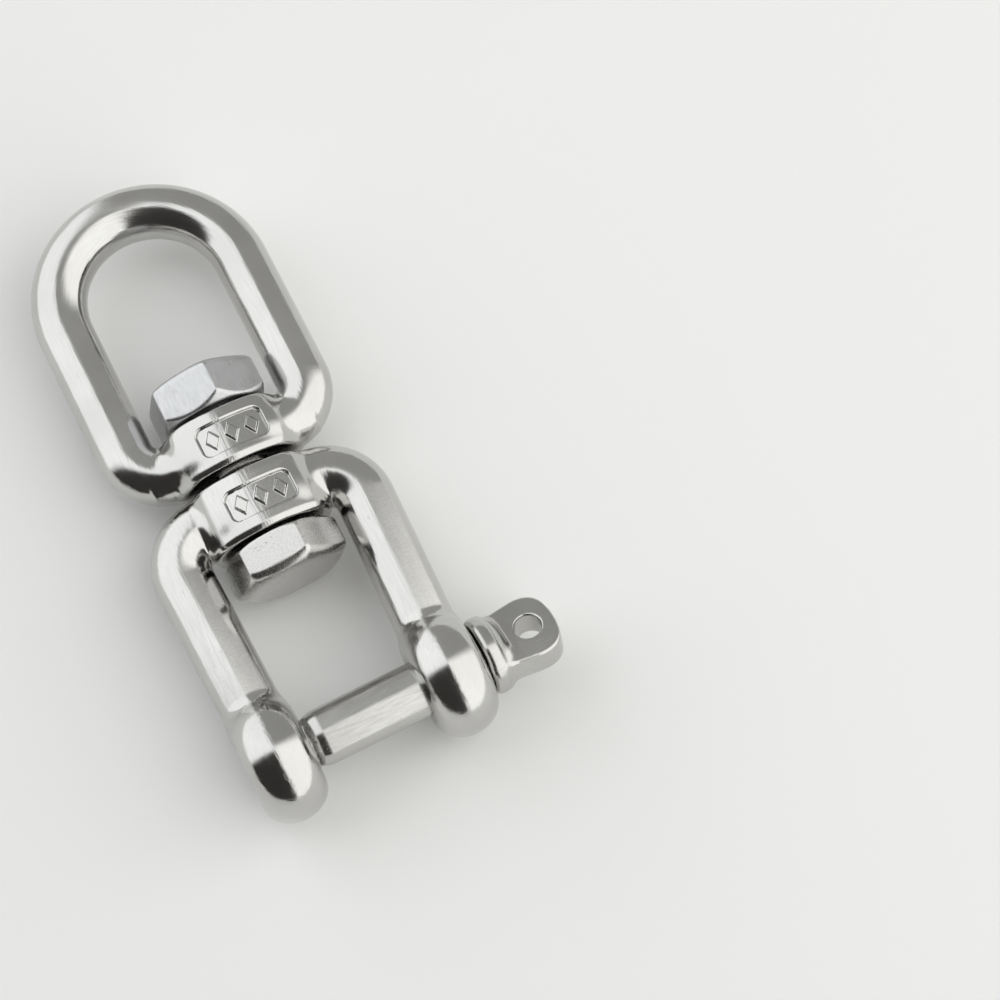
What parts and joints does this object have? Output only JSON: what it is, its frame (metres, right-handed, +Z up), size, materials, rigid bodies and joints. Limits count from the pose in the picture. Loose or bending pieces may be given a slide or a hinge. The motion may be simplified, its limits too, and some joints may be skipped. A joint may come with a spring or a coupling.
{
  "type": "jaw and eye anchor swivel",
  "caption": "Swivel link: a closed eye and a forked jaw turn end to end on a headed bolt, and a screw pin closes the jaw, to join chain to an anchor without twist.",
  "frame": {"origin": "middle of the part's outline seen from above, at the level of the surface that it lies on", "axes": "+Y along the swivel bolt from the jaw to the eye, +X along the screw pin towards its eye plate, +Z up out of the broad front"},
  "size_m": [0.0476, 0.095, 0.018],
  "materials": {
    "eye_steel": "polished stainless forging",
    "jaw_steel": "polished stainless forging",
    "bolt_steel": "satin flats with polished edges",
    "nut_steel": "satin flats",
    "pin_steel": "polished shank, satin eye plate"
  },
  "bodies": {
    "jaw": {"jaw_body": "jaw_steel"},
    "bolt": {"swivel_bolt": "bolt_steel", "swivel_nut": "nut_steel"},
    "eye": {"eye_body": "eye_steel"},
    "pin": {"screw_pin": "pin_steel"}
  },
  "joints": [
    {"name": "eye_swivel", "type": "hinge", "parent": "jaw", "child": "eye", "pos_m": [-0.00567, 0.0043, 0.009], "axis": [0, 1, 0], "continuous": true},
    {"name": "bolt_spin", "type": "hinge", "parent": "jaw", "child": "bolt", "pos_m": [-0.00567, -0.0005, 0.009], "axis": [0, 1, 0], "continuous": true},
    {"name": "pin_slide", "type": "slide", "parent": "jaw", "child": "pin", "axis": [1, 0, 0], "range_m": [0, 0.036]}
  ]
}
